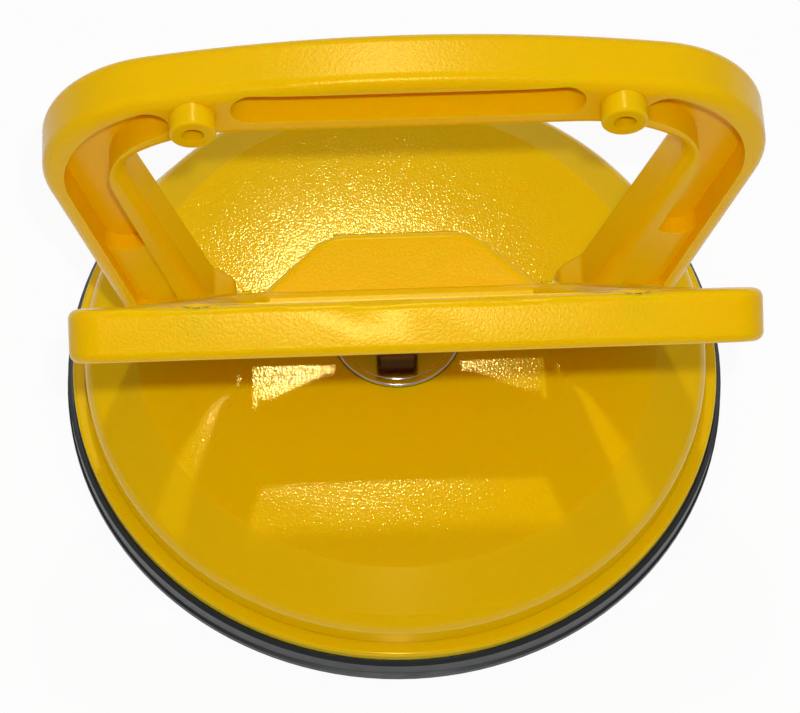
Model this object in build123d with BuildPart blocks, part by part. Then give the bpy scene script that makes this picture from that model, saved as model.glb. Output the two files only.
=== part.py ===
from build123d import *
import os
from math import cos, radians, sin, sqrt, tan

# Hand vacuum lifter with one rubber cup and two loop handles on a common axle.
# The origin is the centre of the sealing face of the rubber pad, +Z up.
# -Y is the front, and the axle runs along X. Sizes are in millimetres.

# Running and seating clearances
shaft_gap = 0.05
slide_gap = 0.1
side_gap = 0.1
cam_gap = 0.03
slot_gap = 0.6

# Rubber pad
pad_lip = 1.0
pad_rim_t = 5.4
pad_centre_t = 4.2
pad_rest_rise = 2.2
pad_seal_w = 9.0
pad_land_r = 40.0
pad_dish_r = 25.0
pad_bead_h = 1.1
pad_bead_out = 0.3
pad_groove_w = 1.2
pad_groove_d = 0.7

# Moulded body
flange_t = 2.0
wall_r = 55.4
flange_w = 2.35
shoulder_round = 3.8
skirt_w = 9.2
crease_h = 12.8
skirt_angle = 28.0
dome_rise = 0.5
shell_t = 2.6
rib_t = 1.8
rib_count = 12
rib_clear = 1.2
press_ring_r = 46.0
press_ring_t = 2.0
boss_r = 9.0
flange_edge_round = 0.6

# Wear disc and guide bush
disc_r = 11.6
disc_t = 1.2
disc_rim_w = 1.3
disc_rim_drop = 0.25
disc_proud = 0.6
bush_wall = 1.9
bush_flange_w = 1.5
bush_flange_t = 1.0

# Lift stud, its plate and fasteners
stud_r = 3.55
eye_r = 5.0
eye_t = 6.0
plate_r = 22.0
plate_t = 2.2
washer_r = 7.0
washer_t = 1.0
nut_across = 12.0
nut_t = 3.2

# Axle
pin_r = 2.5
clip_r = 3.9
clip_t = 1.0
clip_recess = 1.4
thrust_r = 4.1
thrust_t = 0.6

# Cam of the front handle: the axle rises by cam_rate for each radian
cam_low = 4.6
cam_rate = 1.655
front_rest_lean = 31.5
front_closed_lean = 9.0

# Front handle
front_t = 8.2
front_reach = 77.0
front_half_w = 53.4
front_bar_h = 11.6
front_bar_sag = 1.4
front_web_top = 16.5
front_arm_w = 9.0
finger_round = 7.0
front_pocket_w = 4.0
front_throat_h = 6.0
hub_r = 13.4
hub_half_w = 12.0
hub_flare_angle = 40.0
hub_flare_round = 10.0
hub_top_round = 3.5
nest_gap = 1.1

# Back handle
back_t = 10.0
back_reach = 79.0
back_corner_x = 62.5
back_corner_drop = 9.3
back_bar_h = 13.7
corner_r = 21.0
leg_gap_half = 27.9
leg_outer_x = 44.4
leg_straight = 6.0
leg_flare_w = 3.8
leg_flare_h = 4.4
opening_slope = 16.6
opening_drop = 8.4
opening_corner_r = 6.0
knee_round = 3.0
bar_flat_half = 27.0

# Rounded edges and cored pockets of both handles
edge_round = 1.5
grip_round = 2.2
pocket_depth = 5.2
pocket_step_depth = 2.0
pocket_w = 7.2
pocket_wall = 3.0
arm_pocket_low = 11.0
arm_pocket_turn = 49.0
arm_pocket_step = 28.0
bar_pocket_half = 27.6
bar_pocket_wall = 2.7
bar_pocket_h = 7.2
peg_x = 33.5
peg_height = 71.4
peg_r = 3.7
peg_len = 3.5
peg_bore_r = 1.8
peg_bore_depth = 6.0
socket_gap = 0.3
socket_depth = 4.0

# Heights and places worked out from the sizes above
flange_r = wall_r + flange_w
pad_r = flange_r + pad_lip
crease_r = wall_r - skirt_w
flange_z = pad_rim_t
flange_top = flange_z + flange_t
crease_z = flange_z + crease_h
dome_top = crease_z + dome_rise
seat_z = dome_top + disc_proud - disc_t
disc_top = seat_z + disc_t
rest_angle = radians(90 - front_rest_lean)
closed_angle = radians(90 - front_closed_lean)
axle_z = disc_top + cam_gap + cam_low + cam_rate * rest_angle
plate_z = pad_rest_rise + pad_centre_t
plate_top = plate_z + plate_t
nut_z = plate_top + washer_t
lift_up = cam_rate * (closed_angle - rest_angle)
boss_z = nut_z + nut_t + lift_up + slot_gap
rib_z = plate_top + lift_up + rib_clear
bush_r = stud_r + slide_gap + bush_wall
bush_flange_r = bush_r + bush_flange_w
clip_seat_x = leg_outer_x - clip_recess

os.makedirs("parts", exist_ok=True)


def save(piece, name):
    """Label a finished piece and write its STEP file."""
    piece.part.label = name
    export_step(piece.part, f"parts/{name}.step")


# Rubber pad: a flat sealing land round the rim, a dished middle and a bead at the lip
with BuildPart() as rubber_pad:
    with BuildSketch(Plane.XZ):
        with BuildLine():
            lip = Polyline(
                (0, pad_rest_rise),
                (pad_dish_r, pad_rest_rise),
            )
            dish = Spline(
                lip @ 1,
                (pad_r - pad_seal_w, 0),
                tangents=[(1, 0), (1, 0)],
            )
            Polyline(
                dish @ 1,
                (pad_r + pad_bead_out, 0),
                (pad_r + pad_bead_out, pad_bead_h),
                (pad_r - pad_bead_out, pad_bead_h + pad_bead_out),
                (pad_r, pad_bead_h + 3 * pad_bead_out),
                (pad_r, pad_rim_t - 2 * pad_bead_out),
                (pad_r - 2 * pad_bead_out, pad_rim_t),
                (pad_land_r, pad_rim_t),
                (pad_dish_r, plate_z),
                (0, plate_z),
                (0, pad_rest_rise),
            )
        make_face()
    revolve(axis=Axis.Z)
    with BuildSketch(Plane.XY):
        for step in (1, 2, 3):
            groove_r = pad_r - pad_seal_w + step * pad_seal_w / 4
            Circle(groove_r + pad_groove_w / 2)
            Circle(groove_r - pad_groove_w / 2, mode=Mode.SUBTRACT)
    extrude(amount=pad_groove_d, mode=Mode.SUBTRACT)
save(rubber_pad, "rubber_pad")

# Steel plate bonded into the back of the pad
with BuildPart() as pad_plate:
    with BuildSketch(Plane.XY.offset(plate_z)):
        Circle(plate_r)
        Circle(stud_r + shaft_gap, mode=Mode.SUBTRACT)
    extrude(amount=plate_t)
    fillet(pad_plate.edges().filter_by(GeomType.CIRCLE).sort_by(SortBy.RADIUS)[-2:], plate_t / 4)
save(pad_plate, "pad_plate")

# Flat washer and hexagon nut that clamp the stud to the plate
with BuildPart() as stud_washer:
    with BuildSketch(Plane.XY.offset(plate_top)):
        Circle(washer_r)
        Circle(stud_r + shaft_gap, mode=Mode.SUBTRACT)
    extrude(amount=washer_t)
save(stud_washer, "stud_washer")

with BuildPart() as stud_nut:
    with BuildSketch(Plane.XY.offset(nut_z)):
        RegularPolygon(nut_across / 2, 6, major_radius=False)
        Circle(stud_r + shaft_gap, mode=Mode.SUBTRACT)
    extrude(amount=nut_t)
save(stud_nut, "stud_nut")

# Lift stud: a round shank with a forged eye that holds the axle
with BuildPart() as lift_stud:
    with BuildSketch(Plane.XY.offset(plate_z)):
        Circle(stud_r)
    extrude(amount=axle_z - plate_z)
    with BuildSketch(Plane.YZ.offset(-eye_t / 2)):
        with Locations((0, axle_z)):
            Circle(eye_r)
    extrude(amount=eye_t)
    with BuildSketch(Plane.YZ.offset(-stud_r)):
        with Locations((0, axle_z)):
            Circle(pin_r + shaft_gap)
    extrude(amount=2 * stud_r, mode=Mode.SUBTRACT)
    chamfer(lift_stud.edges().filter_by(GeomType.CIRCLE).sort_by(Axis.Z)[0], stud_r / 6)
save(lift_stud, "lift_stud")

# Guide bush in the bore of the body
with BuildPart() as guide_bush:
    with BuildSketch(Plane.XY.offset(boss_z)):
        Circle(bush_r)
    extrude(amount=seat_z - boss_z)
    with BuildSketch(Plane.XY.offset(seat_z - bush_flange_t)):
        Circle(bush_flange_r)
    extrude(amount=bush_flange_t)
    with BuildSketch(Plane.XY.offset(boss_z)):
        Circle(stud_r + slide_gap)
    extrude(amount=seat_z - boss_z, mode=Mode.SUBTRACT)
save(guide_bush, "guide_bush")

# Steel disc that the cam bears on, with a lower rim
with BuildPart() as wear_disc:
    with BuildSketch(Plane.XY.offset(seat_z)):
        Circle(disc_r)
    extrude(amount=disc_t - disc_rim_drop)
    fillet(wear_disc.edges().group_by(Axis.Z)[-1], disc_t / 3)
    with BuildSketch(Plane.XY.offset(seat_z)):
        Circle(disc_r - disc_rim_w)
    extrude(amount=disc_t)
    with BuildSketch(Plane.XY.offset(seat_z)):
        Circle(stud_r + slide_gap)
    extrude(amount=disc_t, mode=Mode.SUBTRACT)
save(wear_disc, "wear_disc")

# Moulded body: flange, upright wall, round shoulder, smooth skirt and flat-domed top
skirt_rise = (wall_r - crease_r) * tan(radians(skirt_angle))
inner_wall_r = wall_r - shell_t
inner_crease_z = crease_z - shell_t
inner_skirt_z = inner_crease_z - (inner_wall_r - crease_r + shell_t / 2) * tan(radians(skirt_angle))
rib_sink = shell_t / 4
with BuildPart() as rib:
    with BuildSketch(Plane.XZ):
        with BuildLine():
            Polyline(
                (boss_r - rib_sink, rib_z),
                (inner_wall_r + rib_sink, rib_z),
                (inner_wall_r + rib_sink, inner_skirt_z),
                (crease_r - shell_t / 2, inner_crease_z + rib_sink),
                (boss_r - rib_sink, inner_crease_z + rib_sink),
                close=True,
            )
        make_face()
    extrude(amount=rib_t / 2, both=True)

with BuildPart() as body_shell:
    with BuildSketch(Plane.XZ):
        with BuildLine():
            Polyline(
                (disc_r + side_gap, dome_top - disc_rim_drop),
                (disc_r + side_gap, seat_z),
                (bush_flange_r + shaft_gap, seat_z),
                (bush_flange_r + shaft_gap, seat_z - bush_flange_t),
                (bush_r + shaft_gap, seat_z - bush_flange_t),
                (bush_r + shaft_gap, boss_z),
                (boss_r, boss_z),
                (boss_r, inner_crease_z),
                (crease_r - shell_t / 2, inner_crease_z),
                (inner_wall_r, inner_skirt_z),
                (inner_wall_r, flange_z),
                (flange_r, flange_z),
                (flange_r, flange_top),
                (wall_r, flange_top),
                (wall_r, crease_z - skirt_rise),
                (crease_r, crease_z),
            )
            ThreePointArc(
                (crease_r, crease_z),
                ((crease_r + disc_r) / 2, dome_top - disc_rim_drop / 2),
                (disc_r + side_gap, dome_top - disc_rim_drop),
            )
        make_face()
    revolve(axis=Axis.Z)
    shoulder = body_shell.edges().filter_by(GeomType.CIRCLE).filter_by(
        lambda e: abs(e.radius - wall_r) < 0.01 and e.center().Z > flange_top + 1
    )
    fillet(shoulder, shoulder_round)
    rim_edge = body_shell.edges().filter_by(GeomType.CIRCLE).filter_by(
        lambda e: abs(e.radius - flange_r) < 0.01 and e.center().Z > flange_z + 1
    )
    fillet(rim_edge, flange_edge_round)
    # The ring that presses the rim of the pad down, and the ribs under the top
    with BuildSketch(Plane.XZ):
        with Locations((press_ring_r - press_ring_t / 2, flange_z)):
            Rectangle(
                press_ring_t,
                inner_crease_z + rib_sink - flange_z,
                align=(Align.CENTER, Align.MIN),
            )
    revolve(axis=Axis.Z)
    with PolarLocations(0, rib_count):
        add(rib.part)
save(body_shell, "body_shell")

# Axle pin with its two push-on clips and the thrust washers beside the hub
with BuildPart() as axle_pin:
    with BuildSketch(Plane.YZ.offset(-leg_outer_x)):
        with Locations((0, axle_z)):
            Circle(pin_r)
    extrude(amount=2 * leg_outer_x)
    chamfer(axle_pin.edges().filter_by(GeomType.CIRCLE), pin_r / 5)
save(axle_pin, "axle_pin")


def ring_on_axle(inner_x, thickness, radius, side):
    """Make a ring round the axle that starts at inner_x on one side."""
    start = inner_x if side > 0 else -inner_x - thickness
    with BuildPart() as ring:
        with BuildSketch(Plane.YZ.offset(start)):
            with Locations((0, axle_z)):
                Circle(radius)
                Circle(pin_r + shaft_gap, mode=Mode.SUBTRACT)
        extrude(amount=thickness)
    return ring


for side, word in ((-1, "left"), (1, "right")):
    save(ring_on_axle(clip_seat_x + side_gap, clip_t, clip_r, side), f"{word}_pin_clip")
    save(ring_on_axle(leg_gap_half - side_gap - thrust_t, thrust_t, thrust_r, side), f"{word}_thrust_washer")

# Both handles are flat loops whose lower ends are rounded about the axle
back_corner_h = back_reach - back_corner_drop
splay = (back_corner_x - leg_outer_x) / back_corner_h
slope = tan(radians(opening_slope))
side_low_x = leg_outer_x - back_t / 2 * splay
bar_low_y = back_reach - back_bar_h
opening_corner_h = bar_low_y - opening_drop
opening_low = (leg_gap_half + leg_flare_w, leg_straight + leg_flare_h)
opening_high = (opening_low[0] + (opening_corner_h - opening_low[1]) * slope, opening_corner_h)


def handle_plane(lean):
    """Return the middle plane of a handle that leans forward, seen from the front."""
    angle = radians(lean)
    return Plane(
        origin=(0, 0, axle_z),
        x_dir=(1, 0, 0),
        z_dir=(0, -cos(angle), -sin(angle)),
    )


def section_plane(lean):
    """Return the plane across the axle, with X towards the back handle and Y up the handle."""
    angle = radians(lean)
    return Plane(
        origin=(0, 0, axle_z),
        x_dir=(0, cos(angle), sin(angle)),
        z_dir=(1, 0, 0),
    )


def mirrored(points):
    """Return the points with X turned round, in the opposite order."""
    return [(-x, y) for x, y in reversed(points)]


def corners(sketch, point):
    """Find the two vertices of a symmetrical sketch at a point and its mirror image."""
    return [v for v in sketch.vertices() if abs(abs(v.X) - point[0]) + abs(v.Y - point[1]) < 0.01]


def knuckle_profile(plane, thickness, length):
    """Make the section of a handle: a strip of one thickness with a round lower end."""
    with BuildSketch(plane) as section:
        Circle(thickness / 2)
        Rectangle(thickness, length, align=(Align.CENTER, Align.MIN))
    return section


def long_edges(part, plane):
    """Select the edges of a loop that run round it, without cross edges and seams."""
    seams = part.edges().filter_by(Axis.X).filter_by(
        lambda e: abs(plane.to_local_coords(e.center()).Y) < 0.01
    )
    return part.edges() - seams - part.edges().filter_by(Axis(plane.origin, plane.z_dir))


def pin_hole():
    """Make the circle of the hole for the axle pin, in the middle of the part."""
    with BuildSketch(Plane.YZ) as hole:
        with Locations((0, axle_z)):
            Circle(pin_r + shaft_gap)
    return hole


# Back handle: two legs outside the hub, cored from the face that meets the front handle
back_plane = handle_plane(0)
back_inner = back_plane.offset(back_t / 2)
pocket_inset = pocket_wall + pocket_w / 2
pocket_side = pocket_inset * sqrt(1 + splay * splay)
arm_pocket_top = bar_low_y + pocket_w / 2


def arm_pockets(low):
    """Make the outlines of both arm pockets, from a height up and round to the pegs."""
    start_y = low + pocket_w / 2
    start_x = leg_outer_x + start_y * splay - pocket_side
    turn_x = leg_outer_x + arm_pocket_turn * splay - pocket_side
    with BuildSketch(back_inner) as pockets:
        with BuildLine() as middle:
            arm_run = Line((start_x, start_y), (turn_x, arm_pocket_turn))
            TangentArc(arm_run @ 1, (peg_x + peg_r + pocket_w / 2, arm_pocket_top), tangent=arm_run % 1)
        trace(line_width=pocket_w)
        with Locations(middle.line @ 0, middle.line @ 1):
            Circle(pocket_w / 2)
        mirror(about=Plane.YZ)
    return pockets


with BuildPart() as back_handle:
    right_side = [
        (back_corner_x, back_corner_h),
        (side_low_x, -back_t / 2),
        (leg_gap_half, -back_t / 2),
        (leg_gap_half, leg_straight),
        opening_low,
        opening_high,
    ]
    with BuildSketch(back_plane) as back_outline:
        with BuildLine():
            ThreePointArc(mirrored(right_side)[-1], (0, back_reach), right_side[0])
            Polyline(right_side)
            curve = TangentArc((bar_flat_half, bar_low_y), opening_high, tangent=(1, 0))
            Line((bar_flat_half, bar_low_y), (-bar_flat_half, bar_low_y))
            mirror(curve, about=Plane.YZ)
            Polyline(mirrored(right_side))
        make_face()
        fillet(corners(back_outline, right_side[0]), corner_r)
        fillet(corners(back_outline, right_side[3]) + corners(back_outline, opening_low), knee_round)
        fillet(corners(back_outline, opening_high), opening_corner_r)
    extrude(amount=back_t / 2, both=True)
    profile = knuckle_profile(section_plane(0), back_t, 2 * back_reach)
    extrude(profile.sketch, amount=2 * back_corner_x, both=True, mode=Mode.INTERSECT)
    fillet(long_edges(back_handle, back_plane), grip_round)
    extrude(arm_pockets(arm_pocket_low).sketch, amount=-pocket_step_depth, mode=Mode.SUBTRACT)
    extrude(arm_pockets(arm_pocket_step).sketch, amount=-pocket_depth, mode=Mode.SUBTRACT)
    with BuildSketch(back_inner):
        with Locations((0, back_reach - bar_pocket_wall - bar_pocket_h / 2)):
            RectangleRounded(2 * bar_pocket_half, bar_pocket_h, bar_pocket_h / 2.2)
    extrude(amount=-pocket_depth, mode=Mode.SUBTRACT)
    # Hollow locating pegs
    with BuildSketch(back_inner.offset(-edge_round)):
        with Locations((-peg_x, peg_height), (peg_x, peg_height)):
            Circle(peg_r)
    extrude(amount=edge_round + peg_len)
    fillet(back_handle.edges().group_by(Axis.Y)[0], edge_round / 3)
    with BuildSketch(back_inner.offset(peg_len)):
        with Locations((-peg_x, peg_height), (peg_x, peg_height)):
            Circle(peg_bore_r)
    extrude(amount=-peg_bore_depth, mode=Mode.SUBTRACT)
    extrude(pin_hole().sketch, amount=back_corner_x, both=True, mode=Mode.SUBTRACT)
    # Flat-bottomed recesses for the clips at the ends of the pin
    for side in (-1, 1):
        with BuildSketch(Plane.YZ.offset(side * clip_seat_x)):
            with Locations((0, axle_z)):
                Circle(clip_r + socket_gap)
        extrude(amount=side * back_corner_x, mode=Mode.SUBTRACT)
save(back_handle, "back_handle")

# Front handle: a loop that nests inside the legs of the back one, on a wide cam hub
front_plane = handle_plane(front_rest_lean)
front_inner = front_plane.offset(-front_t / 2)
hub_section = section_plane(front_rest_lean)
web_x = leg_gap_half - 2 * side_gap - thrust_t


def cam_point(angle):
    """Give the point of the cam that bears on the disc with the handle raised by an angle."""
    height = cam_low + cam_rate * angle
    return (
        -height * cos(angle) + cam_rate * sin(angle),
        -height * sin(angle) - cam_rate * cos(angle),
    )


cam_steps = 6
cam_points = [cam_point(closed_angle * step / cam_steps) for step in range(cam_steps + 1)]
flat_end = (
    cam_points[-1][0] + hub_r * sin(closed_angle),
    cam_points[-1][1] - hub_r * cos(closed_angle),
)
web_r = front_t / 2
# The sockets are where the middle of each peg tip lies with the handles closed
peg_tip_n = back_t / 2 + peg_len / 2
socket_height = peg_height * cos(radians(front_closed_lean)) + peg_tip_n * sin(radians(front_closed_lean))
front_knee = (opening_low[0] - nest_gap, opening_low[1] + nest_gap)
front_low = (web_x, leg_straight + nest_gap)
front_bar_low = front_reach - front_bar_h
front_high_y = front_bar_low - front_throat_h
front_high = (front_knee[0] + (front_high_y - front_knee[1]) * slope, front_high_y)

# Cam hub: turned about the axle with conical flares, cut below by the cam
flare_reach = (hub_r - web_r) / tan(radians(hub_flare_angle))
with BuildPart() as cam_hub:
    with BuildSketch(front_plane) as hub_profile:
        with BuildLine():
            Polyline(
                (-web_x, 0),
                (-web_x, web_r),
                (-hub_half_w - flare_reach, web_r),
                (-hub_half_w, hub_r),
                (hub_half_w, hub_r),
                (hub_half_w + flare_reach, web_r),
                (web_x, web_r),
                (web_x, 0),
                close=True,
            )
        make_face()
        fillet(corners(hub_profile, (hub_half_w, hub_r)), hub_top_round)
        fillet(corners(hub_profile, (hub_half_w + flare_reach, web_r)), hub_flare_round)
    revolve(axis=Axis((0, 0, axle_z), (1, 0, 0)))
    with BuildSketch(hub_section):
        with BuildLine():
            cam = Spline(
                cam_points,
                tangents=[(0, -1), (sin(closed_angle), -cos(closed_angle))],
            )
            Polyline(
                cam @ 1,
                flat_end,
                (2 * hub_r, flat_end[1]),
                (2 * hub_r, 2 * hub_r),
                (-cam_low, 2 * hub_r),
                cam @ 0,
            )
        make_face()
    extrude(amount=web_x, both=True, mode=Mode.INTERSECT)

with BuildPart() as front_handle:
    right_side = [
        (front_half_w, front_reach - front_bar_sag),
        (front_half_w, front_bar_low),
        (front_high[0] + nest_gap, front_bar_low),
        front_high,
        front_knee,
        front_low,
        (web_x, -web_r),
    ]
    with BuildSketch(front_plane) as front_outline:
        with BuildLine():
            ThreePointArc(mirrored(right_side)[-1], (0, front_reach), right_side[0])
            Polyline(right_side)
            Line(right_side[-1], mirrored(right_side)[0])
            Polyline(mirrored(right_side))
        make_face()
        fillet(corners(front_outline, right_side[0]), front_bar_h / 2.2)
        fillet(corners(front_outline, right_side[1]), front_bar_h / 2.4)
        fillet(corners(front_outline, front_low) + corners(front_outline, front_knee), knee_round)
        with BuildSketch(mode=Mode.PRIVATE) as finger_hole:
            with BuildLine():
                low_x = front_knee[0] - front_arm_w
                high_x = front_high[0] - front_arm_w
                Polyline(
                    (-low_x, front_web_top),
                    (low_x, front_web_top),
                    (high_x, front_bar_low),
                    (-high_x, front_bar_low),
                    close=True,
                )
            make_face()
            fillet(finger_hole.vertices(), finger_round)
        add(finger_hole.sketch, mode=Mode.SUBTRACT)
    extrude(amount=web_r, both=True)
    profile = knuckle_profile(hub_section, front_t, 2 * front_reach)
    extrude(profile.sketch, amount=2 * front_half_w, both=True, mode=Mode.INTERSECT)
    fillet(long_edges(front_handle, front_plane), edge_round)
    add(cam_hub.part)
    # Slot for the eye and shank of the stud, over the whole swing of the handle
    with BuildSketch(hub_section):
        Circle(eye_r + slot_gap)
        with Locations((stud_r + slot_gap, stud_r + slot_gap)):
            Rectangle(2 * hub_r, 2 * hub_r, align=(Align.MAX, Align.MAX))
    extrude(amount=eye_t / 2 + slot_gap, both=True, mode=Mode.SUBTRACT)
    extrude(pin_hole().sketch, amount=web_x, both=True, mode=Mode.SUBTRACT)
    # Cored pockets and the sockets for the pegs, in the face towards the back handle
    with BuildSketch(front_inner):
        with Locations((0, front_reach - bar_pocket_wall - bar_pocket_h / 2)):
            RectangleRounded(2 * bar_pocket_half, bar_pocket_h, bar_pocket_h / 2.2)
        with BuildLine() as arm_middle:
            Line(
                (front_knee[0] - front_arm_w / 2, front_knee[1]),
                (front_high[0] - front_arm_w / 2, front_high[1] - front_arm_w / 2),
            )
        trace(line_width=front_pocket_w)
        with Locations(arm_middle.line @ 0, arm_middle.line @ 1):
            Circle(front_pocket_w / 2)
        mirror(about=Plane.YZ)
    extrude(amount=pocket_depth, mode=Mode.SUBTRACT)
    with BuildSketch(front_inner):
        with Locations((-peg_x, socket_height), (peg_x, socket_height)):
            Circle(peg_r + socket_gap)
    extrude(amount=socket_depth, mode=Mode.SUBTRACT)
save(front_handle, "front_handle")
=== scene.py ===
"""Visual model of a hand vacuum lifter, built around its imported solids.

The lifter has one round rubber cup under a moulded yellow body. Two loop handles turn on one
axle above it, and the cam hub of the front handle bears on a bright steel disc.
"""

import logging
import math
from dataclasses import dataclass, field
from enum import Enum
from typing import Any

import bmesh
import bpy
from mathutils import Matrix, Vector

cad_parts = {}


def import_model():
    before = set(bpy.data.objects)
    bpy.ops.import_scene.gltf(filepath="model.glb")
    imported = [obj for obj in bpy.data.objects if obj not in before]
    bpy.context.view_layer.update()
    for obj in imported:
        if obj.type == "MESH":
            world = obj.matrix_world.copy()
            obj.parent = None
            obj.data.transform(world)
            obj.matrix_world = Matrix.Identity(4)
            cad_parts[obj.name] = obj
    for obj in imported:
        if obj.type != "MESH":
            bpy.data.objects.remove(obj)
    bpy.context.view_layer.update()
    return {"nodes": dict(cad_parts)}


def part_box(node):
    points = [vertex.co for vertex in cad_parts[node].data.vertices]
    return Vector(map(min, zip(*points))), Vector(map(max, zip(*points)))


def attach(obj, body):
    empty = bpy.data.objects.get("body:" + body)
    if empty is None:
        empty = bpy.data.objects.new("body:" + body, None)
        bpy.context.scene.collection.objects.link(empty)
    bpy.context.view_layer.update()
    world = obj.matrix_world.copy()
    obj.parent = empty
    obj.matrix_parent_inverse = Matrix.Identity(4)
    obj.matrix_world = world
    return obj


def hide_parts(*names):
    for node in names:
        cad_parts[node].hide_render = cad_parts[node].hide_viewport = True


MM = 0.001
LOG = logging.getLogger("lifter")


class Joining(Enum):
    """What a tool shape does to a moulding."""

    CUT = "DIFFERENCE"
    ADD = "UNION"


def linear_colour(code: str) -> tuple[float, float, float, float]:
    """Turn an sRGB hex colour into linear red, green, blue and alpha.

    Args:
        code: Six hex digits with a leading hash.

    Returns:
        Four linear values from 0 to 1.
    """
    channels = [int(code[i:i + 2], 16) / 255 for i in (1, 3, 5)]
    red, green, blue = [
        c / 12.92 if c <= 0.04045 else ((c + 0.055) / 1.055) ** 2.4 for c in channels
    ]
    return red, green, blue, 1.0


def add_node(
    tree: bpy.types.NodeTree,
    kind: str,
    settings: dict[str, Any] | None = None,
    values: dict[str | int, Any] | None = None,
    links: dict[str | int, bpy.types.NodeSocket] | None = None,
) -> bpy.types.Node:
    """Add one node with its settings, socket values and incoming links.

    Args:
        tree: The node tree that takes the node.
        kind: The node's type name.
        settings: Properties of the node itself.
        values: Input socket names or numbers and their constant values.
        links: Input socket names or numbers and the sockets that feed them.

    Returns:
        The new node.
    """
    node = tree.nodes.new(kind)
    for name, value in (settings or {}).items():
        setattr(node, name, value)
    for name, value in (values or {}).items():
        node.inputs[name].default_value = value
    for name, socket in (links or {}).items():
        tree.links.new(socket, node.inputs[name])
    return node


def new_material(name: str) -> tuple[bpy.types.Material, bpy.types.NodeTree]:
    """Make an empty node material.

    Args:
        name: The material's name.

    Returns:
        The material and its node tree.
    """
    material = bpy.data.materials.new(name)
    material.use_nodes = True
    material.node_tree.nodes.clear()
    return material, material.node_tree


def dress(node: bpy.types.Object, material: bpy.types.Material) -> None:
    """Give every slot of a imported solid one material, and report it.

    Args:
        node: The solid's object.
        material: Its new material.
    """
    if not node.material_slots:
        node.data.materials.append(material)
    for slot in node.material_slots:
        slot.material = material
    LOG.info("dressed %s with %s", node.name, material.name)


@dataclass(frozen=True)
class YellowAbs:
    """Injection-moulded yellow ABS: slightly translucent, with a spark-eroded grain.

    Red light travels furthest in it, so its recesses and shadow edges turn orange. The grain
    breaks a lamp's reflection into cream sparkles. It can be kept to a round field about the
    axis of the body, outside which the mould was polished. The real grain is finer than the
    render can show, so it is drawn a little over 0.4 mm wide.
    """

    name: str
    sheen: float
    roughness: float
    grain_mm: float
    grain_depth_mm: float
    field_mm: float = 0.0
    polished_roughness: float = 0.16
    colour: str = "#F8C400"
    sheen_colour: str = "#FFDC80"
    ior: float = 1.53
    glow: float = 0.6
    glow_mm: float = 4.0
    glow_reach: tuple[float, float, float] = (1.0, 0.25, 0.03)

    def build(self) -> bpy.types.Material:
        """Build the material.

        Returns:
            The finished material.
        """
        material, tree = new_material(self.name)
        place = add_node(tree, "ShaderNodeTexCoord").outputs["Object"]
        height = add_node(
            tree, "ShaderNodeTexNoise",
            values={"Scale": 1 / (self.grain_mm * MM), "Detail": 1.5, "Roughness": 0.5},
            links={"Vector": place},
        ).outputs[0]
        shader_links: dict[str | int, bpy.types.NodeSocket] = {}
        values: dict[str | int, Any] = {
            "Base Color": linear_colour(self.colour),
            "IOR": self.ior,
            "Specular Tint": linear_colour(self.sheen_colour),
            "Specular IOR Level": self.sheen,
            "Subsurface Weight": self.glow,
            "Subsurface Radius": self.glow_reach,
            "Subsurface Scale": self.glow_mm * MM,
        }
        if self.field_mm:
            flat = add_node(
                tree, "ShaderNodeVectorMath", {"operation": "MULTIPLY"},
                {1: (1, 1, 0)}, {0: place},
            )
            reach = add_node(
                tree, "ShaderNodeVectorMath", {"operation": "LENGTH"}, links={0: flat.outputs[0]}
            )
            inside = add_node(
                tree, "ShaderNodeMath", {"operation": "LESS_THAN"},
                {1: self.field_mm * MM}, {0: reach.outputs["Value"]},
            )
            height = add_node(
                tree, "ShaderNodeMath", {"operation": "MULTIPLY"},
                links={0: height, 1: inside.outputs[0]},
            ).outputs[0]
            shader_links["Roughness"] = add_node(
                tree, "ShaderNodeMapRange",
                values={"To Min": self.polished_roughness, "To Max": self.roughness},
                links={"Value": inside.outputs[0]},
            ).outputs[0]
        else:
            values["Roughness"] = self.roughness
        shader_links["Normal"] = add_node(
            tree, "ShaderNodeBump",
            values={"Strength": 1.0, "Distance": self.grain_depth_mm * MM},
            links={"Height": height},
        ).outputs["Normal"]
        shader = add_node(tree, "ShaderNodeBsdfPrincipled", values=values, links=shader_links)
        add_node(tree, "ShaderNodeOutputMaterial", links={"Surface": shader.outputs[0]})
        return material


@dataclass(frozen=True)
class BlackRubber:
    """Soft black rubber from a polished mould: deep grey, satin, with a slightly uneven gloss."""

    name: str = "moulded_black_rubber"
    colour: str = "#14181A"
    ior: float = 1.5
    glossiest: float = 0.34
    dullest: float = 0.52
    mottle_mm: float = 3.0

    def build(self) -> bpy.types.Material:
        """Build the material.

        Returns:
            The finished material.
        """
        material, tree = new_material(self.name)
        place = add_node(tree, "ShaderNodeTexCoord").outputs["Object"]
        mottle = add_node(
            tree, "ShaderNodeTexNoise",
            values={"Scale": 1 / (self.mottle_mm * MM), "Detail": 4.0},
            links={"Vector": place},
        )
        rough = add_node(
            tree, "ShaderNodeMapRange",
            values={"To Min": self.glossiest, "To Max": self.dullest},
            links={"Value": mottle.outputs[0]},
        )
        shader = add_node(
            tree, "ShaderNodeBsdfPrincipled",
            values={"Base Color": linear_colour(self.colour), "IOR": self.ior},
            links={"Roughness": rough.outputs[0]},
        )
        add_node(tree, "ShaderNodeOutputMaterial", links={"Surface": shader.outputs[0]})
        return material


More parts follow.
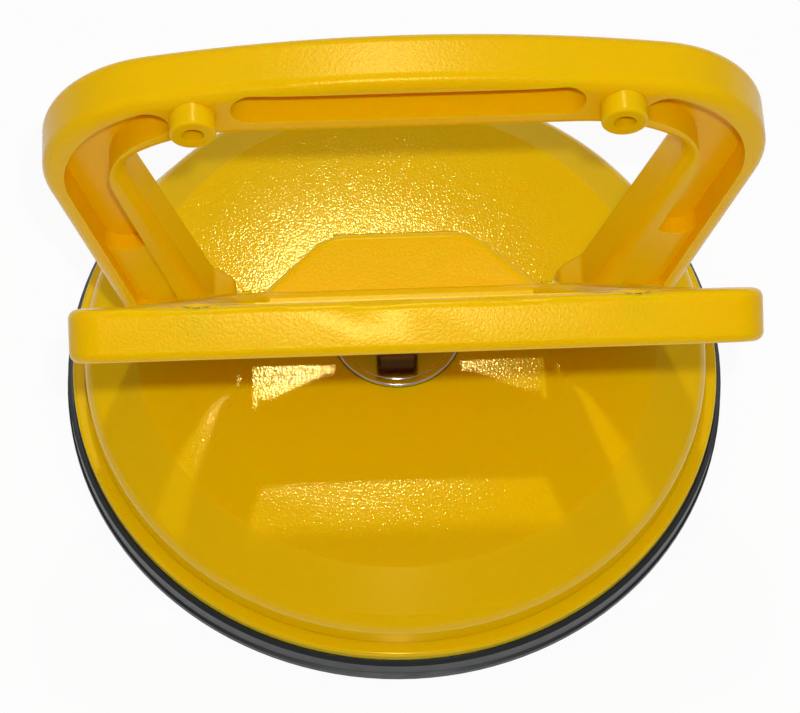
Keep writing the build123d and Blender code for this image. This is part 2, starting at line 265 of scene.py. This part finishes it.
@dataclass(frozen=True)
class PlatedSteel:
    """Plated steel: mirror-like, with faint turning marks that vary its gloss."""

    name: str
    colour: str
    roughness: float
    smoother: float = 0.7
    rougher: float = 1.4
    mark_mm: float = 0.4

    def build(self) -> bpy.types.Material:
        """Build the material.

        Returns:
            The finished material.
        """
        material, tree = new_material(self.name)
        place = add_node(tree, "ShaderNodeTexCoord").outputs["Object"]
        marks = add_node(
            tree, "ShaderNodeTexNoise",
            values={"Scale": 1 / (self.mark_mm * MM), "Detail": 3.0},
            links={"Vector": place},
        )
        rough = add_node(
            tree, "ShaderNodeMapRange",
            values={
                "To Min": self.roughness * self.smoother,
                "To Max": self.roughness * self.rougher,
            },
            links={"Value": marks.outputs[0]},
        )
        shader = add_node(
            tree, "ShaderNodeBsdfPrincipled",
            values={"Base Color": linear_colour(self.colour), "Metallic": 1.0},
            links={"Roughness": rough.outputs[0]},
        )
        add_node(tree, "ShaderNodeOutputMaterial", links={"Surface": shader.outputs[0]})
        return material


@dataclass(frozen=True)
class Acetal:
    """Machined natural acetal: milky white, with a waxy gloss."""

    name: str = "machined_natural_acetal"
    colour: str = "#E4E2D8"
    ior: float = 1.48
    glossiest: float = 0.3
    dullest: float = 0.4
    haze_mm: float = 1.0

    def build(self) -> bpy.types.Material:
        """Build the material.

        Returns:
            The finished material.
        """
        material, tree = new_material(self.name)
        place = add_node(tree, "ShaderNodeTexCoord").outputs["Object"]
        haze = add_node(
            tree, "ShaderNodeTexNoise",
            values={"Scale": 1 / (self.haze_mm * MM), "Detail": 2.0},
            links={"Vector": place},
        )
        rough = add_node(
            tree, "ShaderNodeMapRange",
            values={"To Min": self.glossiest, "To Max": self.dullest},
            links={"Value": haze.outputs[0]},
        )
        shader = add_node(
            tree, "ShaderNodeBsdfPrincipled",
            values={"Base Color": linear_colour(self.colour), "IOR": self.ior},
            links={"Roughness": rough.outputs[0]},
        )
        add_node(tree, "ShaderNodeOutputMaterial", links={"Surface": shader.outputs[0]})
        return material


@dataclass(frozen=True)
class PaperSweep:
    """White paper under the lifter: it shows as plain white and keeps a faint shadow."""

    name: str = "white_paper_sweep"
    colour: str = "#F4F4F2"
    plain_white: float = 0.93

    def build(self) -> bpy.types.Material:
        """Build the material.

        Returns:
            The finished material.
        """
        material, tree = new_material(self.name)
        path = add_node(tree, "ShaderNodeLightPath")
        seen = add_node(
            tree, "ShaderNodeMath", {"operation": "MAXIMUM"},
            links={0: path.outputs["Is Camera Ray"], 1: path.outputs["Is Glossy Ray"]},
        )
        shown = add_node(
            tree, "ShaderNodeMath", {"operation": "MAXIMUM"},
            links={0: seen.outputs[0], 1: path.outputs["Is Transmission Ray"]},
        )
        share = add_node(
            tree, "ShaderNodeMath", {"operation": "MULTIPLY"},
            {1: self.plain_white}, {0: shown.outputs[0]},
        )
        paper = add_node(
            tree, "ShaderNodeBsdfDiffuse", values={"Color": linear_colour(self.colour)}
        )
        white = add_node(tree, "ShaderNodeEmission", values={"Strength": 1.0})
        mix = add_node(
            tree, "ShaderNodeMixShader",
            links={0: share.outputs[0], 1: paper.outputs[0], 2: white.outputs[0]},
        )
        add_node(tree, "ShaderNodeOutputMaterial", links={"Surface": mix.outputs[0]})
        return material


@dataclass
class FrontMoulding:
    """The front handle as the light through it shows it: open beside the cam hub.

    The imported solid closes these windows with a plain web. Here a thin lug stays on the axle at
    each side, a flared rib joins the hub to the arms above the windows, and a crossbar between
    the arms ends just below the finger opening. Its top is level with the ground at rest. Sizes
    are in the handle's own frame: x across, y up from the axle and z out of the front.
    """

    lean: float = 31.5
    plate_half_mm: float = 4.1
    edge_round_mm: float = 1.1
    window_start_mm: float = 10.8
    window_end_mm: float = 25.4
    window_low_mm: float = -9.0
    window_top_mm: float = 11.5
    window_depth_mm: float = 53.6
    window_round_mm: float = 2.4
    rib_half_mm: float = 12.2
    rib_reach_mm: float = 13.4
    rib_end_mm: float = 23.6
    rib_end_reach_mm: float = 3.7
    rib_top_mm: float = 16.2
    rib_round_mm: float = 3.0
    rib_slope: float = 12.0
    bar_low_mm: float = 15.5
    bar_back_mm: float = 19.0
    bar_front_mm: float = 24.0
    bar_thick_half_mm: float = 4.08
    bar_low_half_mm: float = 21.5
    bar_widening: float = 0.33
    sharp_angle: float = 32.0

    def place(self) -> Matrix:
        """Find where the handle's own frame lies in the lifter.

        Returns:
            The matrix from the handle's own frame.
        """
        low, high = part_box("axle_pin")
        turn = math.radians(self.lean)
        along = Vector((0, -math.sin(turn), math.cos(turn)))
        front = Vector((0, -math.cos(turn), -math.sin(turn)))
        axle = Vector((0, (low[1] + high[1]) / 2, (low[2] + high[2]) / 2))
        turned = Matrix((Vector((1, 0, 0)), along, front)).transposed().to_4x4()
        return Matrix.Translation(axle) @ turned

    def windows(self) -> bpy.types.Object:
        """Make the two blocks that are cut out beside the hub.

        Returns:
            The tool object.
        """
        tool = bmesh.new()
        wide = self.window_end_mm - self.window_start_mm
        tall = self.window_top_mm - self.window_low_mm
        block = Matrix.Diagonal((wide, tall, self.window_depth_mm, 1))
        for side in (-1, 1):
            middle = Vector((
                side * (self.window_end_mm + self.window_start_mm) / 2,
                (self.window_top_mm + self.window_low_mm) / 2, 0,
            ))
            made = bmesh.ops.create_cube(
                tool, size=MM, matrix=Matrix.Translation(middle * MM) @ block
            )
            top_corners = {
                e for v in made["verts"] for e in v.link_edges
                if abs(e.verts[0].co.z - e.verts[1].co.z) > MM and e.verts[0].co.y > 0
            }
            bmesh.ops.bevel(
                tool, geom=list(top_corners), affect="EDGES",
                offset=self.window_round_mm * MM, segments=5, profile=0.5, material=-1,
            )
        return self.tool_object(tool, "front_windows")

    def rib(self) -> bpy.types.Object:
        """Make the flared rib above the windows.

        Returns:
            The tool object.
        """
        tool = bmesh.new()
        outline = (
            (-self.rib_end_mm, 0), (-self.rib_end_mm, -self.rib_end_reach_mm),
            (-self.rib_half_mm, -self.rib_reach_mm), (self.rib_half_mm, -self.rib_reach_mm),
            (self.rib_end_mm, -self.rib_end_reach_mm), (self.rib_end_mm, 0),
        )
        low = self.window_top_mm
        self.thicken(
            tool, [(x, low, z) for x, z in outline], (0, self.rib_top_mm - low, 0)
        )
        upright = [
            e for e in tool.edges
            if abs(e.verts[0].co.y - e.verts[1].co.y) > MM
            and abs(e.verts[0].co.z + self.rib_reach_mm * MM) < MM / 10
        ]
        bmesh.ops.bevel(
            tool, geom=upright, affect="EDGES", offset=self.rib_round_mm * MM,
            segments=8, profile=0.5, material=-1,
        )
        rims = [
            e for e in tool.edges
            if abs(e.verts[0].co.y - e.verts[1].co.y) < MM / 100
            and min(v.co.z for v in e.verts) < -self.plate_half_mm * MM * 0.8
        ]
        bmesh.ops.bevel(
            tool, geom=rims, affect="EDGES", offset=self.edge_round_mm * MM,
            segments=4, profile=0.5, material=-1,
        )
        middle = (self.rib_top_mm + low) / 2 * MM
        fall = math.tan(math.radians(self.rib_slope))
        for vert in tool.verts:
            if vert.co.y > middle:
                vert.co.y -= max(0.0, -vert.co.z - self.plate_half_mm * MM) * fall
        return self.tool_object(tool, "front_rib")

    def crossbar(self) -> bpy.types.Object:
        """Make the crossbar between the arms.

        Returns:
            The tool object.
        """
        tool = bmesh.new()
        half = self.bar_thick_half_mm
        outline = (
            (self.bar_low_mm, -half), (self.bar_back_mm, -half),
            (self.bar_front_mm, half), (self.bar_low_mm, half),
        )
        self.thicken(tool, [(-1, y, z) for y, z in outline], (2, 0, 0))
        rims = [
            e for e in tool.edges
            if abs(e.verts[0].co.x - e.verts[1].co.x) > MM
            and min(v.co.y for v in e.verts) > (self.bar_low_mm + 1) * MM
        ]
        bmesh.ops.bevel(
            tool, geom=rims, affect="EDGES", offset=self.edge_round_mm * MM,
            segments=4, profile=0.5, material=-1,
        )
        # The arms lean outwards, so the bar gets wider towards its top
        for vert in tool.verts:
            height = vert.co.y - self.bar_low_mm * MM
            reach = self.bar_low_half_mm * MM + height * self.bar_widening
            vert.co.x = math.copysign(reach, vert.co.x)
        return self.tool_object(tool, "front_crossbar")

    def thicken(
        self,
        tool: bmesh.types.BMesh,
        outline: list[tuple[float, float, float]],
        move: tuple[float, float, float],
    ) -> None:
        """Extrude a flat outline into a block.

        Args:
            tool: The mesh that takes the block.
            outline: The corners of the flat face, in millimetres.
            move: How far the face is extruded, in millimetres.
        """
        corners = [tool.verts.new((x * MM, y * MM, z * MM)) for x, y, z in outline]
        out = bmesh.ops.extrude_face_region(tool, geom=[tool.faces.new(corners)])
        moved = [v for v in out["geom"] if isinstance(v, bmesh.types.BMVert)]
        bmesh.ops.translate(tool, verts=moved, vec=[step * MM for step in move])
        bmesh.ops.recalc_face_normals(tool, faces=tool.faces)

    def tool_object(self, tool: bmesh.types.BMesh, name: str) -> bpy.types.Object:
        """Turn a tool mesh into an object in the handle's place.

        Args:
            tool: The mesh in the handle's own frame.
            name: The object's name.

        Returns:
            The object, which the caller deletes.
        """
        tool.transform(self.place())
        if tool.calc_volume(signed=True) < 0:
            bmesh.ops.reverse_faces(tool, faces=tool.faces)
        mesh = bpy.data.meshes.new(name)
        tool.to_mesh(mesh)
        tool.free()
        made = bpy.data.objects.new(name, mesh)
        bpy.context.scene.collection.objects.link(made)
        return made

    def build(self, node: bpy.types.Object, material: bpy.types.Material) -> bpy.types.Object:
        """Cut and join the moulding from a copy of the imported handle.

        Args:
            node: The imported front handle.
            material: Its plastic.

        Returns:
            The moulding, riding on the handle's body.
        """
        solid = bmesh.new()
        solid.from_mesh(node.data)
        bmesh.ops.remove_doubles(solid, verts=solid.verts, dist=MM / 1000)
        mesh = bpy.data.meshes.new("front_handle_moulding")
        solid.to_mesh(mesh)
        solid.free()
        moulding = bpy.data.objects.new("front_handle_moulding", mesh)
        bpy.context.scene.collection.objects.link(moulding)
        tools = (
            (self.windows(), Joining.CUT),
            (self.rib(), Joining.ADD),
            (self.crossbar(), Joining.ADD),
        )
        for tool, joining in tools:
            step = moulding.modifiers.new(tool.name, "BOOLEAN")
            step.operation = joining.value
            step.solver = "EXACT"
            step.object = tool
        shaped = bpy.data.meshes.new_from_object(
            moulding.evaluated_get(bpy.context.evaluated_depsgraph_get())
        )
        moulding.modifiers.clear()
        moulding.data = shaped
        for tool, _ in tools:
            bpy.data.objects.remove(tool)
        shaped.materials.clear()
        shaped.materials.append(material)
        for face in shaped.polygons:
            face.use_smooth = True
            face.material_index = 0
        shaped.set_sharp_from_angle(angle=math.radians(self.sharp_angle))
        # The flat faces keep their shading level right up to the small roundings
        even = moulding.modifiers.new("even_shading", "WEIGHTED_NORMAL")
        even.keep_sharp = True
        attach(moulding, "front_handle")
        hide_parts("front_handle")
        LOG.info("front moulding: %d faces", len(shaped.polygons))
        return moulding


@dataclass
class Cup:
    """The cup that stands on the panel: body, pad, wear disc and guide bush."""

    body: YellowAbs = field(default_factory=lambda: YellowAbs(
        "moulded_yellow_abs_body", sheen=0.3, roughness=0.09, grain_mm=0.42,
        grain_depth_mm=0.032, field_mm=46.2,
    ))
    pad: BlackRubber = field(default_factory=BlackRubber)
    disc: PlatedSteel = field(
        default_factory=lambda: PlatedSteel("polished_plated_steel", "#D8DAD8", 0.12)
    )

    def dress(self, nodes: dict[str, bpy.types.Object], acetal: bpy.types.Material) -> None:
        """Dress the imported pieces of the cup.

        Args:
            nodes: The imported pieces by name.
            acetal: The plastic of the guide bush.
        """
        dress(nodes["body_shell"], self.body.build())
        dress(nodes["rubber_pad"], self.pad.build())
        dress(nodes["wear_disc"], self.disc.build())
        dress(nodes["guide_bush"], acetal)


@dataclass
class LiftStack:
    """What the cam lifts: stud, plate, nut, axle, clips and thrust washers."""

    plated: PlatedSteel = field(
        default_factory=lambda: PlatedSteel("zinc_plated_steel", "#B9BAB6", 0.3)
    )
    # The stud's dark brown colour is painted reflection and shade. It stands in for the shaded
    # yellow hub and body that the stud mirrors inside the hub's slot.
    stud_painted_reflection: PlatedSteel = field(
        default_factory=lambda: PlatedSteel("steel_painted_brown_reflection", "#7A5226", 0.22)
    )

    def dress(self, nodes: dict[str, bpy.types.Object], acetal: bpy.types.Material) -> None:
        """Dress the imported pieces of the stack.

        Args:
            nodes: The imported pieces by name.
            acetal: The plastic of the thrust washers.
        """
        plated = self.plated.build()
        for name in (
            "pad_plate", "stud_washer", "stud_nut", "axle_pin", "left_pin_clip", "right_pin_clip",
        ):
            dress(nodes[name], plated)
        dress(nodes["lift_stud"], self.stud_painted_reflection.build())
        for name in ("left_thrust_washer", "right_thrust_washer"):
            dress(nodes[name], acetal)


@dataclass
class HandlePair:
    """The two loop handles of one grained plastic."""

    plastic: YellowAbs = field(default_factory=lambda: YellowAbs(
        "moulded_yellow_abs_handles", sheen=0.22, roughness=0.26, grain_mm=0.45,
        grain_depth_mm=0.032,
    ))
    front: FrontMoulding = field(default_factory=FrontMoulding)

    def build(self, nodes: dict[str, bpy.types.Object]) -> None:
        """Dress both handles and shape the front one.

        Args:
            nodes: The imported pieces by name.
        """
        plastic = self.plastic.build()
        dress(nodes["back_handle"], plastic)
        dress(nodes["front_handle"], plastic)
        self.front.build(nodes["front_handle"], plastic)


@dataclass(frozen=True)
class Lamp:
    """One lamp: where it hangs, how large it is and how strong.

    Angles are in degrees, lengths in metres and the power in watts.
    """

    name: str
    azimuth: float
    elevation: float
    distance: float
    width: float
    height: float
    power: float

    def hang(self, target: Vector) -> None:
        """Add the lamp, turned to the target.

        Args:
            target: The point that the lamp faces.
        """
        data = bpy.data.lights.new(self.name, "AREA")
        data.shape = "RECTANGLE"
        data.size = self.width
        data.size_y = self.height
        data.energy = self.power
        lamp = bpy.data.objects.new(self.name, data)
        bpy.context.scene.collection.objects.link(lamp)
        turn, rise = math.radians(self.azimuth), math.radians(self.elevation)
        away = Vector((
            math.sin(turn) * math.cos(rise), -math.cos(turn) * math.cos(rise), math.sin(rise)
        ))
        lamp.location = target + away * self.distance
        lamp.rotation_euler = away.to_track_quat("Z", "Y").to_euler()


@dataclass
class Studio:
    """Camera, lamps, room light and floor, with angles in degrees."""

    yaw: float = 4.9
    elevation: float = 61.4
    roll: float = 2.4
    distance_mm: float = 600.0
    focal_px: float = 3333.0
    sensor_mm: float = 36.0
    aim_z_mm: float = 5.4
    aim_x_px: float = 395.0
    aim_y_px: float = 364.6
    image_width: int = 800
    image_height: int = 713
    lamp_aim_mm: float = 20.0
    lamps: tuple[Lamp, ...] = (
        Lamp("key_lamp", 0, 63.8, 0.6, 0.012, 0.012, 1.36),
        Lamp("rear_softbox", 179.5, 61.5, 0.9, 0.03, 0.03, 1.6),
    )
    world_strength: float = 0.29
    floor_half_m: float = 3.0
    floor_z_mm: float = -0.05

    def set_camera(self) -> None:
        """Put the camera where the photograph was taken from."""
        turn, rise, tilt = (math.radians(a) for a in (self.yaw, self.elevation, self.roll))
        right = Vector((math.cos(turn), -math.sin(turn), 0))
        towards = Vector((
            -math.sin(turn) * math.cos(rise), -math.cos(turn) * math.cos(rise), math.sin(rise)
        ))
        above = towards.cross(right)
        axis_x = right * math.cos(tilt) + above * math.sin(tilt)
        axis_y = above * math.cos(tilt) - right * math.sin(tilt)
        data = bpy.data.cameras.new("photo_camera")
        data.sensor_width = self.sensor_mm
        data.lens = self.focal_px / self.image_width * data.sensor_width
        data.shift_x = (self.image_width / 2 - self.aim_x_px) / self.image_width
        data.shift_y = (self.aim_y_px - self.image_height / 2) / self.image_width
        camera = bpy.data.objects.new("photo_camera", data)
        bpy.context.scene.collection.objects.link(camera)
        place = Vector((0, 0, self.aim_z_mm * MM)) + towards * self.distance_mm * MM
        camera.matrix_world = Matrix.Translation(place) @ Matrix(
            (axis_x, axis_y, towards)
        ).transposed().to_4x4()
        bpy.context.scene.camera = camera

    def light(self) -> None:
        """Hang the lamps and set the soft light of the room."""
        for lamp in self.lamps:
            lamp.hang(Vector((0, 0, self.lamp_aim_mm * MM)))
        world = bpy.data.worlds.new("studio_room")
        bpy.context.scene.world = world
        world.use_nodes = True
        world.node_tree.nodes.clear()
        room = add_node(
            world.node_tree, "ShaderNodeBackground",
            values={"Color": linear_colour("#FFFFFF"), "Strength": self.world_strength},
        )
        add_node(world.node_tree, "ShaderNodeOutputWorld", links={"Surface": room.outputs[0]})

    def lay_floor(self) -> None:
        """Lay the white paper that the lifter stands on."""
        paper = bmesh.new()
        bmesh.ops.create_grid(
            paper, x_segments=1, y_segments=1, size=self.floor_half_m,
            matrix=Matrix.Translation((0, 0, self.floor_z_mm * MM)),
        )
        mesh = bpy.data.meshes.new("paper_floor")
        paper.to_mesh(mesh)
        paper.free()
        mesh.materials.append(PaperSweep().build())
        floor = bpy.data.objects.new("paper_floor", mesh)
        bpy.context.scene.collection.objects.link(floor)

    def set_up(self) -> None:
        """Set up everything that isn't part of the lifter."""
        self.set_camera()
        self.light()
        self.lay_floor()
        bpy.context.scene.view_settings.view_transform = "Standard"


def main() -> None:
    """Build the finishes, the pieces and the studio, and report each of them."""
    logging.basicConfig(level=logging.INFO, format="%(name)s: %(message)s")
    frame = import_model()
    nodes = frame["nodes"]
    acetal = Acetal().build()
    Cup().dress(nodes, acetal)
    LiftStack().dress(nodes, acetal)
    HandlePair().build(nodes)
    Studio().set_up()
    LOG.info("studio set up")


if __name__ == "__main__":
    main()
